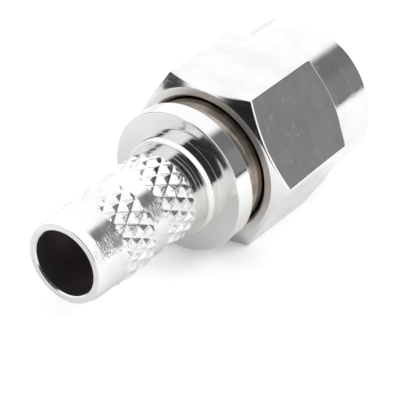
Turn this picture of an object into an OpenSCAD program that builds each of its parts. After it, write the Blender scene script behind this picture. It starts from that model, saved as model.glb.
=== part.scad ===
// Straight coaxial crimp plug with a hexagonal coupling nut.
// The axis lies along X: the cable enters at -X and the mating side faces +X.
// The origin is on the axis, at the mating reference plane: the front rim of
// the outer contact sleeve. The plug lies on a flat of its coupling nut.

/* [Crimp stem] */
// Outside diameter of the plain stem
stem_d = 4.2; // [3.9:0.05:4.35]
// Bore for the cable's dielectric core
cable_bore_d = 3.24; // [3.1:0.02:3.4]
// Depth of that bore, to the step that stops the cable's core
cable_bore_len = 5.5; // [5:0.05:5.6]
// Bore past the step, around the contact's cup
step_bore_d = 2.9; // [2.4:0.02:3]
// Length of the stem, from its open end to the boss
stem_len = 7.5; // [7:0.1:12]
// Outside diameter of the stem's open end
tip_d = 3.94; // [3.7:0.02:4.1]
// Length of the taper at the open end
tip_taper_len = 0.45; // [0.2:0.05:0.8]
// Corner taken off the mouth of the bore
mouth_break = 0.06; // [0.02:0.01:0.1]

/* [Knurl] */
// Diameter over the tops of the knurl
knurl_crest_d = 4.42; // [4.36:0.02:4.6]
// Depth of the knurl's grooves
knurl_depth = 0.13; // [0.06:0.01:0.18]
// Number of diamonds around the stem
knurl_count = 20; // [16:1:26]
// Angle between the grooves and the axis
knurl_angle = 29; // [24:0.5:35]
// Angle by which the pattern is turned about the axis
knurl_turn = 2.8; // [0:0.2:18]
// Length of each knurled band
knurl_len = 2.2; // [1.5:0.05:2.4]
// Plain length behind the open end
plain_rear_len = 1.8; // [1:0.05:2.2]
// Plain length between the two knurled bands
plain_mid_len = 0.72; // [0.4:0.02:1]

/* [Boss and flange] */
// Diameter of the boss behind the flange
boss_d = 5; // [4.7:0.05:5.6]
// Length of the boss
boss_len = 0.73; // [0.5:0.01:1.2]
// Length of the shallow cone on the boss
boss_cone_len = 0.26; // [0.1:0.02:0.4]
// Height of the shallow cone on the boss
boss_cone_drop = 0.1; // [0.04:0.01:0.15]
// Diameter of the flange
flange_d = 7.16; // [6.9:0.02:7.6]
// Thickness of the flange
flange_len = 1.03; // [0.6:0.01:1.6]
// Edge broken on both sides of the flange
flange_break = 0.08; // [0.03:0.01:0.15]

/* [Body inside the nut] */
// Diameter of the neck that carries the nut
neck_d = 6.6; // [6.4:0.02:6.7]
// Gap between the flange and the back of the nut
nut_gap = 1.03; // [0.5:0.01:1.5]
// Distance from the mating plane back to the neck's front shoulder
neck_setback = 3; // [2.8:0.05:3.3]
// Inside diameter of the outer contact sleeve
sleeve_bore_d = 4.11; // [4.05:0.01:4.16]
// Wall of the outer contact sleeve
sleeve_wall = 0.235; // [0.2:0.005:0.25]
// Lead-in on the rim of the outer contact sleeve
sleeve_break = 0.08; // [0.02:0.01:0.1]

/* [Coupling nut] */
// Size across the flats of the hexagon
nut_af = 8; // [7.9:0.05:9]
// Length of the whole nut
nut_len = 8.16; // [7.9:0.02:9]
// Length of the hexagon, with both its chamfers
hex_len = 5.56; // [5:0.02:6]
// Diameter of the round front
nut_front_d = 7.76; // [7.5:0.02:7.86]
// Diameter of the flat ring at the back of the nut
nut_face_d = 7.7; // [7.4:0.02:7.9]
// Angle of the chamfers on the hexagon's corners
hex_chamfer_angle = 30; // [20:1:40]
// Corner taken off the front rim
nut_front_break = 0.12; // [0.05:0.01:0.2]
// Minor diameter of the quarter-inch, 36 threads an inch
thread_minor_d = 5.7; // [5.6:0.02:5.9]
// Major diameter of the thread, where the mouth is opened
thread_major_d = 6.42; // [6.36:0.02:6.5]

/* [Snap ring] */
// Outside diameter of the ring, sprung open in the nut
ring_d = 7.04; // [6.94:0.02:7.1]
// Inside diameter of the ring
ring_bore_d = 5.9; // [5.8:0.02:6.1]
// Thickness of the ring along the axis
ring_len = 0.5; // [0.4:0.02:0.6]
// Width of the split
ring_split = 1.2; // [0.6:0.1:2]
// Thickness of the neck in front of the ring's groove
neck_land = 0.59; // [0.4:0.01:0.8]
// Thickness of the nut's back lip
nut_lip_len = 0.95; // [0.7:0.05:1.05]
// How far the nut and ring float along the axis, each way
nut_float = 0.15; // [0.05:0.01:0.2]

/* [Gasket] */
// Thickness of the gasket's wall
gasket_wall = 0.41; // [0.3:0.01:0.5]
// Length of the gasket
gasket_len = 1; // [0.6:0.05:1.1]

/* [Insulator and centre contact] */
// Length of the insulator
insulator_len = 6.9; // [6:0.05:7.2]
// Diameter of the centre contact in the insulator
contact_d = 1.27; // [1.2:0.01:1.35]
// Diameter of the mating pin
pin_d = 0.92; // [0.88:0.01:0.96]
// How far the pin stands out past the mating plane
pin_len = 2.2; // [1.6:0.05:2.4]
// Length of the pin's pointed tip
pin_tip_len = 0.4; // [0.2:0.05:0.5]
// Diameter of the flat on the pin's tip
pin_tip_d = 0.4; // [0.3:0.02:0.5]
// Diameter of the shoulder that seats in the insulator
shoulder_d = 1.9; // [1.75:0.05:2.1]
// Length of the shoulder
shoulder_len = 0.8; // [0.5:0.05:1.2]
// Diameter of the cup for the cable's inner conductor
cup_d = 1.6; // [1.5:0.02:1.72]
// Length of the cup behind the shoulder
cup_len = 3; // [2.4:0.1:3.4]
// Bore of the cup
cup_bore_d = 1; // [0.9:0.02:1.1]
// Depth of the cup's bore
cup_depth = 2.6; // [2:0.1:3.2]
// Diameter of the inspection hole in the cup
peep_d = 0.4; // [0.3:0.05:0.5]

/* [Fits] */
// Gap between the neck and the nut's back lip, on the radius
lip_clear = 0.08; // [0.04:0.01:0.1]
// Gap between the snap ring and the walls of the nut's groove
ring_clear = 0.03; // [0.02:0.01:0.06]
// Room under and over the snap ring, on the radius
ring_room = 0.1; // [0.06:0.01:0.14]
// Gap between the contact and the insulator, on the radius
contact_clear = 0.01; // [0:0.01:0.02]

/* [Hidden] */
$fn = 96;

// Depth by which cutting shapes run past what they cut
over = 0.5;
// Metal left under the knurl's grooves, down to the plain core
knurl_root = 0.08;
// Depth by which the knurled rings reach into the core
knurl_sink = 0.05;
// Grid steps across one diamond of the knurl, both around and along
knurl_steps = 4;

// Stations along the axis, from the mating plane back to the cable
x_neck = -neck_setback;
x_ring_front = x_neck - neck_land - nut_float;
x_ring = x_ring_front - ring_len;
x_nut = x_ring - ring_clear - nut_lip_len;
x_nut_front = x_nut + nut_len;
x_thread = x_neck + gasket_len + nut_float;
x_flange_front = x_nut - nut_gap;
x_flange = x_flange_front - flange_len;
x_boss = x_flange - boss_len;
x_tail = x_boss - stem_len;
x_knurl_1 = x_tail + plain_rear_len;
x_knurl_2 = x_knurl_1 + knurl_len + plain_mid_len;
x_seat = -insulator_len;
x_cup = x_seat - cup_len;

// Radii that follow from the fits
sleeve_r = sleeve_bore_d / 2 + sleeve_wall;
lip_bore_r = neck_d / 2 + lip_clear;
nut_groove_r = ring_d / 2 + ring_room;
// The body's groove leaves the ring room to close while the nut is pushed on
body_groove_r = ring_bore_d / 2 - ring_room - (ring_d / 2 - lip_bore_r);
knurl_valley_r = knurl_crest_d / 2 - knurl_depth;
core_r = knurl_valley_r - knurl_root;
hex_corner_r = nut_af / 2 / cos(30);

// A solid turned about X from an outline of [radius, x] points
module turned(outline) {
    rotate([0, 90, 0]) rotate_extrude() polygon(outline);
}

// Remainder of n over one diamond's grid steps, never negative
function wrapped(n) = (n % knurl_steps + knurl_steps) % knurl_steps;

// Radius of the knurl at one grid point: the bottom of a groove, which runs along
// one of the grid's two diagonals, or else the flat top between four grooves
function in_groove(i, j) = wrapped(i + j) == 0 || wrapped(i - j) == 0;
function knurl_r(i, j) = in_groove(i, j) ? knurl_valley_r : knurl_crest_d / 2;

// The diagonal that a grid cell is split along, so that each groove stays straight
// and each top stays flat. It holds for four grid steps a diamond.
function splits_forward(i, j) =
    (i + j) % 2 == 0 ? wrapped(i - j) == 0 : wrapped(i + j + 1) != 0;

// One knurled band: a ring of flat-topped diamonds, from x to x + knurl_len.
// first_row is the row of the pattern that the band starts on.
module knurled_band(x, first_row) {
    columns = knurl_count * knurl_steps;
    // Length of one diamond, from its width and the angle of its grooves
    diamond_len = PI * knurl_crest_d / knurl_count / tan(knurl_angle);
    rows = round(knurl_len / diamond_len * knurl_steps);
    sink_r = core_r - knurl_sink;
    function at(r, i, j) = [
        x + knurl_len * j / rows,
        r * cos(360 * i / columns + knurl_turn),
        r * sin(360 * i / columns + knurl_turn)
    ];
    outer = [
        for (j = [0:rows]) for (i = [0:columns - 1]) at(knurl_r(i, j + first_row), i, j)
    ];
    inner = [for (j = [0, rows]) for (i = [0:columns - 1]) at(sink_r, i, j)];
    first_in = len(outer);
    function o(i, j) = j * columns + i % columns;
    function n(i, k) = first_in + k * columns + i % columns;
    skin = [
        for (j = [0:rows - 1]) for (i = [0:columns - 1]) each splits_forward(i, j + first_row)
            ? [[o(i, j), o(i + 1, j + 1), o(i + 1, j)], [o(i, j), o(i, j + 1), o(i + 1, j + 1)]]
            : [[o(i, j), o(i, j + 1), o(i + 1, j)], [o(i + 1, j), o(i, j + 1), o(i + 1, j + 1)]]
    ];
    ends = [
        for (i = [0:columns - 1]) each [
            [n(i, 0), o(i, 0), o(i + 1, 0), n(i + 1, 0)],
            [n(i, 1), n(i + 1, 1), o(i + 1, rows), o(i, rows)],
            [n(i, 0), n(i + 1, 0), n(i + 1, 1), n(i, 1)]
        ]
    ];
    polyhedron(points = concat(outer, inner), faces = concat(skin, ends), convexity = 4);
}

// Stem, boss, flange, neck and outer contact sleeve, turned from one bar
module body() {
    stem_r = stem_d / 2;
    bore_r = cable_bore_d / 2;
    neck_r = neck_d / 2;
    color("silver") {
        turned([
            // Open end and crimp stem
            [bore_r + mouth_break, x_tail],
            [tip_d / 2, x_tail],
            [stem_r, x_tail + tip_taper_len],
            [stem_r, x_knurl_1],
            [core_r, x_knurl_1],
            [core_r, x_knurl_1 + knurl_len],
            [stem_r, x_knurl_1 + knurl_len],
            [stem_r, x_knurl_2],
            [core_r, x_knurl_2],
            [core_r, x_knurl_2 + knurl_len],
            [stem_r, x_knurl_2 + knurl_len],
            [stem_r, x_boss],
            // Boss and flange
            [boss_d / 2 - boss_cone_drop, x_boss],
            [boss_d / 2, x_boss + boss_cone_len],
            [boss_d / 2, x_flange],
            [flange_d / 2 - flange_break, x_flange],
            [flange_d / 2, x_flange + flange_break],
            [flange_d / 2, x_flange_front - flange_break],
            [flange_d / 2 - flange_break, x_flange_front],
            // Neck, with the snap ring's groove
            [neck_r, x_flange_front],
            [neck_r, x_ring - nut_float],
            [body_groove_r, x_ring - nut_float],
            [body_groove_r, x_ring_front + nut_float],
            [neck_r, x_ring_front + nut_float],
            [neck_r, x_neck - flange_break],
            [neck_r - flange_break, x_neck],
            // Outer contact sleeve
            [sleeve_r, x_neck],
            [sleeve_r, -sleeve_break],
            [sleeve_r - sleeve_break, 0],
            [sleeve_bore_d / 2, 0],
            [sleeve_bore_d / 2, x_seat],
            [step_bore_d / 2, x_seat],
            [step_bore_d / 2, x_tail + cable_bore_len],
            [bore_r, x_tail + cable_bore_len],
            [bore_r, x_tail + mouth_break]
        ]);
        knurled_band(x_knurl_1, 0);
        knurled_band(x_knurl_2, 1);
    }
}

// Hexagonal nut with a round front, a ring groove and a threaded mouth
module coupling_nut() {
    // The chamfers' cones run out just past the corners of the hexagon
    rim_r = hex_corner_r + over;
    rise = tan(hex_chamfer_angle);
    face_r = nut_face_d / 2;
    front_r = nut_front_d / 2;
    minor_r = thread_minor_d / 2;
    major_r = thread_major_d / 2;
    color("gainsboro") difference() {
        intersection() {
            translate([x_nut, 0, 0])
                rotate([0, 90, 0])
                    rotate([0, 0, 30])
                        cylinder(r = hex_corner_r, h = nut_len, $fn = 6);
            turned([
                [0, x_nut],
                [face_r, x_nut],
                [rim_r, x_nut + (rim_r - face_r) * rise],
                [rim_r, x_nut + hex_len - (rim_r - front_r) * rise],
                [front_r, x_nut + hex_len],
                [front_r, x_nut_front - nut_front_break],
                [front_r - nut_front_break, x_nut_front],
                [0, x_nut_front]
            ]);
        }
        // Lip, groove for the snap ring, clearance for the neck, and thread
        turned([
            [0, x_nut - over],
            [lip_bore_r, x_nut - over],
            [lip_bore_r, x_ring - ring_clear],
            [nut_groove_r, x_ring - ring_clear],
            [nut_groove_r, x_ring_front + ring_clear],
            [lip_bore_r, x_ring_front + ring_clear],
            [lip_bore_r, x_thread],
            [minor_r, x_thread],
            [minor_r, x_nut_front - (major_r - minor_r)],
            [major_r + over, x_nut_front + over],
            [0, x_nut_front + over]
        ]);
    }
}

// Sprung ring with a split, half in the body's groove and half in the nut's
module snap_ring() {
    color("goldenrod") difference() {
        turned([
            [ring_bore_d / 2, x_ring],
            [ring_d / 2, x_ring],
            [ring_d / 2, x_ring_front],
            [ring_bore_d / 2, x_ring_front]
        ]);
        translate([x_ring - over, -ring_split / 2, -ring_d / 2 - over])
            cube([ring_len + 2 * over, ring_split, ring_d / 2 + over]);
    }
}

// Sealing ring stretched over the sleeve, against the neck's shoulder
module gasket() {
    color("firebrick") turned([
        [sleeve_r, x_neck],
        [sleeve_r + gasket_wall, x_neck],
        [sleeve_r + gasket_wall, x_neck + gasket_len],
        [sleeve_r, x_neck + gasket_len]
    ]);
}

// Insulator that fills the sleeve and carries the centre contact
module insulator() {
    core_bore_r = contact_d / 2 + contact_clear;
    seat_bore_r = shoulder_d / 2 + contact_clear;
    color("white") turned([
        [seat_bore_r, x_seat],
        [sleeve_bore_d / 2, x_seat],
        [sleeve_bore_d / 2, 0],
        [core_bore_r, 0],
        [core_bore_r, x_seat + shoulder_len],
        [seat_bore_r, x_seat + shoulder_len]
    ]);
}

// Mating pin, shoulder and the cup for the cable's inner conductor
module centre_contact() {
    color("gold") difference() {
        turned([
            [cup_bore_d / 2, x_cup],
            [cup_d / 2, x_cup],
            [cup_d / 2, x_seat],
            [shoulder_d / 2, x_seat],
            [shoulder_d / 2, x_seat + shoulder_len],
            [contact_d / 2, x_seat + shoulder_len],
            [contact_d / 2, 0],
            [pin_d / 2, 0],
            [pin_d / 2, pin_len - pin_tip_len],
            [pin_tip_d / 2, pin_len],
            [0, pin_len],
            [0, x_cup + cup_depth],
            [cup_bore_d / 2, x_cup + cup_depth]
        ]);
        translate([x_cup + cup_depth - peep_d, 0, 0])
            cylinder(d = peep_d, h = cup_d);
    }
}

body();
coupling_nut();
snap_ring();
gasket();
insulator();
centre_contact();
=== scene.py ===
"""Dresses the coaxial crimp plug: its visible surfaces, its finishes, the studio and the camera.

Every length in the classes below is in millimetres, as a maker's drawing gives it, and becomes
metres when a surface is made. The plug's axis is X, with the mating side at +X and Z up.
"""

from __future__ import annotations

import logging
import math
from collections.abc import Mapping, Sequence
from dataclasses import dataclass, field
from enum import Enum, IntEnum

import bmesh
import bpy
import numpy as np
from mathutils import Matrix, Vector

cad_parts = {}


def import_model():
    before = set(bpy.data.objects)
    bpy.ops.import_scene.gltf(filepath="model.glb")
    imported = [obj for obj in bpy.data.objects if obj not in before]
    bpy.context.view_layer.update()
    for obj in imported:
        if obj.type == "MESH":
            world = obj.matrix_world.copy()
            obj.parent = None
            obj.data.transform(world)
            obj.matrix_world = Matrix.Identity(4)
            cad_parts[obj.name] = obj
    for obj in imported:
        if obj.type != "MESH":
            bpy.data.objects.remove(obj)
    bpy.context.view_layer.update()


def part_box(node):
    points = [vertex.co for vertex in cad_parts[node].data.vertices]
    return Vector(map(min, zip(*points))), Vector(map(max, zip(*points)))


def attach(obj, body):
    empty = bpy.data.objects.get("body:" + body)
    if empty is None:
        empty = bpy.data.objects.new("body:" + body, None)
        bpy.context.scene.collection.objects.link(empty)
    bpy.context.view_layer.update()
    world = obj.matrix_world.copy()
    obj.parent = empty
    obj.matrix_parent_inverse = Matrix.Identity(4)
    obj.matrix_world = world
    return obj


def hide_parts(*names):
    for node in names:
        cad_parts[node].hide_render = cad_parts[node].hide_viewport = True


LOG = logging.getLogger("plug")
MM = 0.001
WHITE = (1.0, 1.0, 1.0, 1.0)
Colour = tuple[float, float, float, float]
Direction = tuple[float, float, float]
Place = tuple[float, float, float]


class Node(Enum):
    """The solids of the frame that a visible piece stands for."""

    BODY = "body"
    COUPLING_NUT = "coupling_nut"
    SNAP_RING = "snap_ring"
    GASKET = "gasket"
    INSULATOR = "insulator"
    CENTRE_CONTACT = "centre_contact"


class Carrier(Enum):
    """The moving bodies that pieces ride on."""

    PLUG = "plug_body"
    RING = "snap_ring"
    NUT = "coupling_nut"


class Slot(Enum):
    """The record's finishes."""

    BODY = "body_plating"
    NUT = "nut_plating"
    RING = "spring_bronze"
    GASKET = "gasket_rubber"
    INSULATOR = "insulator_plastic"
    CONTACT = "contact_gold"


# ---------------------------------------------------------------------------
# Surfaces
# ---------------------------------------------------------------------------


@dataclass
class Surface:
    """A mesh as arrays, in millimetres.

    Attributes:
        points: The corner points, one row of x, y and z each.
        quads: The four-sided faces, as rows of point numbers.
        caps: Faces with more sides, such as the cut ends of a split ring.
    """

    points: np.ndarray
    quads: np.ndarray
    caps: list[np.ndarray] = field(default_factory=list)

    def mesh(self, name: str) -> bpy.types.Mesh:
        """Makes a mesh of this surface, in metres.

        Args:
            name: The mesh's name.

        Returns:
            The new mesh.
        """
        mesh = bpy.data.meshes.new(name)
        faces = self.quads.tolist() + [cap.tolist() for cap in self.caps]
        mesh.from_pydata(self.points * MM, [], faces)
        return mesh

    def face_middles(self) -> tuple[np.ndarray, np.ndarray]:
        """Says where each four-sided face lies.

        Returns:
            The mean station and the mean radius of each face's corners.
        """
        corners = self.points[self.quads]
        radii = np.hypot(corners[..., 1], corners[..., 2])
        return corners[..., 0].mean(axis=1), radii.mean(axis=1)

    def volume(self) -> float:
        """Adds up the signed volumes of the pyramids from the origin to every face.

        Returns:
            The volume, positive where the faces point outwards.
        """
        a, b, c, d = (self.points[self.quads[:, k]] for k in range(4))
        total = np.einsum("ij,ij->", a, np.cross(b, c)) + np.einsum("ij,ij->", a, np.cross(c, d))
        for cap in self.caps:
            hub = self.points[cap[0]]
            rim = self.points[cap[1:]]
            total += np.sum(np.cross(rim[:-1], rim[1:]) @ hub)
        return float(total) / 6

    def outward(self) -> Surface:
        """Turns the faces round if the volume is negative.

        Returns:
            The same surface with its faces pointing outwards.
        """
        turn = -1 if self.volume() < 0 else 1
        return Surface(self.points, self.quads[:, ::turn], [cap[::turn] for cap in self.caps])

    def joined(self, others: Sequence[Surface]) -> Surface:
        """This surface and others as one mesh of several closed shells.

        Args:
            others: The surfaces to add.

        Returns:
            One surface with the points and faces of all of them.
        """
        points, quads, caps = [self.points], [self.quads], list(self.caps)
        first = len(self.points)
        for other in others:
            points.append(other.points)
            quads.append(other.quads + first)
            caps.extend(cap + first for cap in other.caps)
            first += len(other.points)
        return Surface(np.concatenate(points), np.concatenate(quads), caps)


def place_object(name: str, data: bpy.types.ID) -> bpy.types.Object:
    """Puts a new object into the scene.

    Args:
        name: The object's name.
        data: Its mesh, lamp or camera.

    Returns:
        The new object.
    """
    placed = bpy.data.objects.new(name, data)
    bpy.context.scene.collection.objects.link(placed)
    return placed


# The largest cosine taken for a corner, short of a straight line, and the shares of a side that
# an arc and the extra point past it may take.
STRAIGHT_LIMIT, ARC_SHARE, GUARD_SHARE = 0.999999, 0.42, 0.05


def smooth_corners(
    corners: np.ndarray, radii: np.ndarray, steps: int = 4, guard: float = 0.02
) -> np.ndarray:
    """Rounds every corner of closed outlines.

    Each corner becomes an arc that touches both of its sides: the arc's centre plus the radius
    times a direction that turns evenly from one side's normal to the other's. One more point
    lies on each side just past the arc, so that smooth shading leaves the sides flat.

    Args:
        corners: Corner points, shape (..., corners, 2).
        radii: The wanted radius at each corner. It shrinks where a side is too short.
        steps: Number of chords in an arc.
        guard: Distance from an arc's end to the extra point.

    Returns:
        The rounded points, shape (..., corners, steps + 3, 2).
    """
    to_last = np.roll(corners, 1, axis=-2) - corners
    to_next = np.roll(corners, -1, axis=-2) - corners
    last_len = np.linalg.norm(to_last, axis=-1, keepdims=True)
    next_len = np.linalg.norm(to_next, axis=-1, keepdims=True)
    back, ahead = to_last / last_len, to_next / next_len
    cosine = np.sum(back * ahead, axis=-1, keepdims=True)
    half = np.arccos(np.clip(cosine, -STRAIGHT_LIMIT, STRAIGHT_LIMIT)) / 2
    longest = ARC_SHARE * np.minimum(last_len, next_len)
    reach = np.minimum(radii[..., None] / np.tan(half), longest)
    radius = reach * np.tan(half)
    middle = (back + ahead) / np.linalg.norm(back + ahead, axis=-1, keepdims=True)
    centre = corners + middle * radius / np.sin(half)
    start = (corners + back * reach - centre) / radius
    stop = (corners + ahead * reach - centre) / radius
    sweep = (np.pi - 2 * half)[..., None, :]
    part = np.linspace(0, 1, steps + 1)[:, None]
    turn = np.sin((1 - part) * sweep) * start[..., None, :] + np.sin(part * sweep) * stop[..., None, :]
    arc = centre[..., None, :] + radius[..., None, :] * turn / np.sin(sweep)
    entry = corners + back * (reach + np.minimum(guard, GUARD_SHARE * last_len))
    leave = corners + ahead * (reach + np.minimum(guard, GUARD_SHARE * next_len))
    return np.concatenate([entry[..., None, :], arc, leave[..., None, :]], axis=-2)


def outline_rows(rounded: np.ndarray, extra: Mapping[int, int] | None = None) -> np.ndarray:
    """Strings the rounded corners into one row of points, with more on chosen sides.

    Args:
        rounded: Points from smooth_corners, shape (..., corners, points, 2).
        extra: Number of extra points on the side that follows each numbered corner.

    Returns:
        The outline's points, shape (..., rows, 2).
    """
    rows = []
    count = rounded.shape[-3]
    for corner in range(count):
        rows.append(rounded[..., corner, :, :])
        added = (extra or {}).get(corner, 0)
        if added:
            start = rounded[..., corner, -1:, :]
            stop = rounded[..., (corner + 1) % count, :1, :]
            part = (np.arange(1, added + 1) / (added + 1))[:, None]
            rows.append(start * (1 - part) + stop * part)
    return np.concatenate(rows, axis=-2)


def rounded_rows(corners: Sequence[tuple[float, float, float]], steps: int = 4) -> np.ndarray:
    """The closed outline of a turned piece.

    Args:
        corners: The radius, the station and the rounding of each corner.
        steps: Number of chords in each rounding.

    Returns:
        Radius and station of each row, shape (rows, 2).
    """
    table = np.array(corners)
    return outline_rows(smooth_corners(table[:, :2], table[:, 2], steps))


def grid_quads(columns: int, rows: int, round_closed: bool, along_closed: bool) -> np.ndarray:
    """The faces of a grid whose point number is column * rows + row.

    Args:
        columns: Number of columns, which lie around the axis.
        rows: Number of points in each column.
        round_closed: Whether the last column meets the first.
        along_closed: Whether each column's last point meets its first.

    Returns:
        One row of four point numbers for each face.
    """
    i, j = np.meshgrid(
        np.arange(columns if round_closed else columns - 1),
        np.arange(rows if along_closed else rows - 1),
        indexing="ij",
    )
    right, up = (i + 1) % columns, (j + 1) % rows
    faces = np.stack([i * rows + j, right * rows + j, right * rows + up, i * rows + up], axis=-1)
    return faces.reshape(-1, 4)


def turned(outline: np.ndarray, angles: np.ndarray, round_closed: bool = True,
           along_closed: bool = True) -> Surface:
    """A surface turned about X.

    A point at radius r, station x and angle a lies at (x, r cos a, r sin a).

    Args:
        outline: Radius and station of each row, shape (rows, 2) or (columns, rows, 2).
        angles: The angle of each column.
        round_closed: Whether the surface goes all the way round.
        along_closed: Whether the outline is a closed loop.

    Returns:
        The closed surface, with caps on its two ends where it isn't closed around.
    """
    shape = np.broadcast_to(outline, (len(angles), *outline.shape[-2:]))
    radius, station = shape[..., 0], shape[..., 1]
    around = angles[:, None]
    points = np.stack([station, radius * np.cos(around), radius * np.sin(around)], axis=-1)
    columns, rows = radius.shape
    caps = []
    if not round_closed:
        caps = [np.arange(rows)[::-1], np.arange(rows) + (columns - 1) * rows]
    quads = grid_quads(columns, rows, round_closed, along_closed)
    return Surface(points.reshape(-1, 3), quads, caps).outward()


def full_circle(columns: int) -> np.ndarray:
    """Evenly spaced angles once around the axis."""
    return np.linspace(0, 2 * np.pi, columns, endpoint=False)


def eased(value: np.ndarray) -> np.ndarray:
    """Goes smoothly from 0 to 1 as the value goes from 0 to 1: three squares less two cubes."""
    held = np.clip(value, 0, 1)
    return held * held * (3 - 2 * held)


# ---------------------------------------------------------------------------
# Shader nodes
# ---------------------------------------------------------------------------

Source = bpy.types.NodeSocket | float | Sequence[float]


class NodeBoard:
    """Places and wires the nodes of one node tree."""

    def __init__(self, tree: bpy.types.NodeTree) -> None:
        """Starts on an emptied tree.

        Args:
            tree: The node tree to fill.
        """
        self.tree = tree
        tree.nodes.clear()

    def feed(self, socket: bpy.types.NodeSocket, source: Source) -> None:
        """Links a socket to another one, or sets its value.

        Args:
            socket: The input to feed.
            source: An output, or a value.
        """
        if isinstance(source, bpy.types.NodeSocket):
            self.tree.links.new(source, socket)
        else:
            socket.default_value = source

    def add(self, kind: str, settings: Mapping[str, object] | None = None,
            inputs: Mapping[str | int, Source] | None = None) -> bpy.types.Node:
        """Adds a node.

        Args:
            kind: Blender's name of the node's type.
            settings: Properties to set on the node.
            inputs: A value or a socket for each named or numbered input.

        Returns:
            The new node.
        """
        node = self.tree.nodes.new(kind)
        for key, value in (settings or {}).items():
            setattr(node, key, value)
        for key, source in (inputs or {}).items():
            self.feed(node.inputs[key], source)
        return node

    def math(self, operation: str, *sources: Source) -> bpy.types.NodeSocket:
        """The result of a Math node on up to three sources."""
        return self.add("ShaderNodeMath", {"operation": operation}, dict(enumerate(sources))).outputs[0]

    def times(self, first: Source, second: Source) -> bpy.types.NodeSocket:
        """The product of two values."""
        return self.math("MULTIPLY", first, second)

    def times_plus(self, first: Source, second: Source, third: Source) -> bpy.types.NodeSocket:
        """The product of two values, plus a third."""
        return self.math("MULTIPLY_ADD", first, second, third)

    def dot(self, first: Source, second: Source) -> bpy.types.NodeSocket:
        """The dot product of two vectors."""
        node = self.add("ShaderNodeVectorMath", {"operation": "DOT_PRODUCT"}, {0: first, 1: second})
        return node.outputs["Value"]

    def ramp(self, value: Source, start: float, stop: float, low: float = 0.0,
             high: float = 1.0) -> bpy.types.NodeSocket:
        """Makes a soft step: three squares less two cubes of the way from start to stop.

        Args:
            value: What the step is over.
            start: The value where the step starts.
            stop: The value where it ends.
            low: The result before the step.
            high: The result after it.

        Returns:
            The result's socket.
        """
        node = self.add(
            "ShaderNodeMapRange",
            {"interpolation_type": "SMOOTHSTEP"},
            {"Value": value, "From Min": start, "From Max": stop, "To Min": low, "To Max": high},
        )
        return node.outputs["Result"]

    def mix(self, factor: Source, first: Source, second: Source) -> bpy.types.NodeSocket:
        """Mixes two colours.

        Args:
            factor: The share of the second one.
            first: One colour.
            second: The other.

        Returns:
            The mixed colour's socket.
        """
        node = self.add("ShaderNodeMix", {"data_type": "RGBA"})
        for name, source in (("Factor", factor), ("A", first), ("B", second)):
            wanted = "VALUE" if name == "Factor" else "RGBA"
            socket = next(s for s in node.inputs if s.name == name and s.type == wanted)
            self.feed(socket, source)
        return next(s for s in node.outputs if s.type == "RGBA")

    def noise(self, vector: Source, scale: Source, detail: float, dimensions: str = "3D",
              roughness: float = 0.5) -> bpy.types.NodeSocket:
        """Adds a noise texture.

        Args:
            vector: The place to read it at.
            scale: Its features per metre, or per unit of a direction.
            detail: Number of finer layers on it.
            dimensions: Whether it varies over two or three of the place's parts.
            roughness: Strength of each finer layer, as a share of the one before.

        Returns:
            The socket of its plain value, from 0 to 1.
        """
        node = self.add(
            "ShaderNodeTexNoise",
            {"noise_dimensions": dimensions},
            {"Vector": vector, "Scale": scale, "Detail": detail, "Roughness": roughness},
        )
        return node.outputs["Fac"]

    def bump(self, height: Source, depth: float, under: Source | None = None,
             inward: bool = False) -> bpy.types.NodeSocket:
        """The normal of a surface with a relief.

        Args:
            height: The relief, from 0 to 1.
            depth: Its height at 1, in metres.
            under: The normal of the relief below it, if there is one.
            inward: Whether the relief goes into the surface.

        Returns:
            The normal's socket.
        """
        inputs = {"Strength": 1.0, "Distance": depth, "Height": height}
        if under is not None:
            inputs["Normal"] = under
        return self.add("ShaderNodeBump", {"invert": inward}, inputs).outputs[0]

    def place(self, group: bpy.types.NodeTree, inputs: Mapping[str, Source]) -> bpy.types.Node:
        """Places a node group with its own values."""
        return self.add("ShaderNodeGroup", {"node_tree": group}, inputs)


def new_group(name: str, inputs: Mapping[str, tuple[str, Source | None]],
              outputs: Mapping[str, str]) -> tuple[NodeBoard, bpy.types.Node, bpy.types.Node]:
    """Starts a shader node group with named inputs and outputs.

    Args:
        name: The group's name.
        inputs: For each input, its kind of socket and its usual value.
        outputs: For each output, its kind of socket.

    Returns:
        The board to build on, and the group's input and output nodes.
    """
    tree = bpy.data.node_groups.new(name, "ShaderNodeTree")
    for key, (kind, value) in inputs.items():
        socket = tree.interface.new_socket(key, in_out="INPUT", socket_type=kind)
        if value is not None:
            socket.default_value = value
    for key, kind in outputs.items():
        tree.interface.new_socket(key, in_out="OUTPUT", socket_type=kind)
    board = NodeBoard(tree)
    return board, board.add("NodeGroupInput"), board.add("NodeGroupOutput")


FLOAT, VECTOR, COLOUR = "NodeSocketFloat", "NodeSocketVector", "NodeSocketColor"


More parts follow.
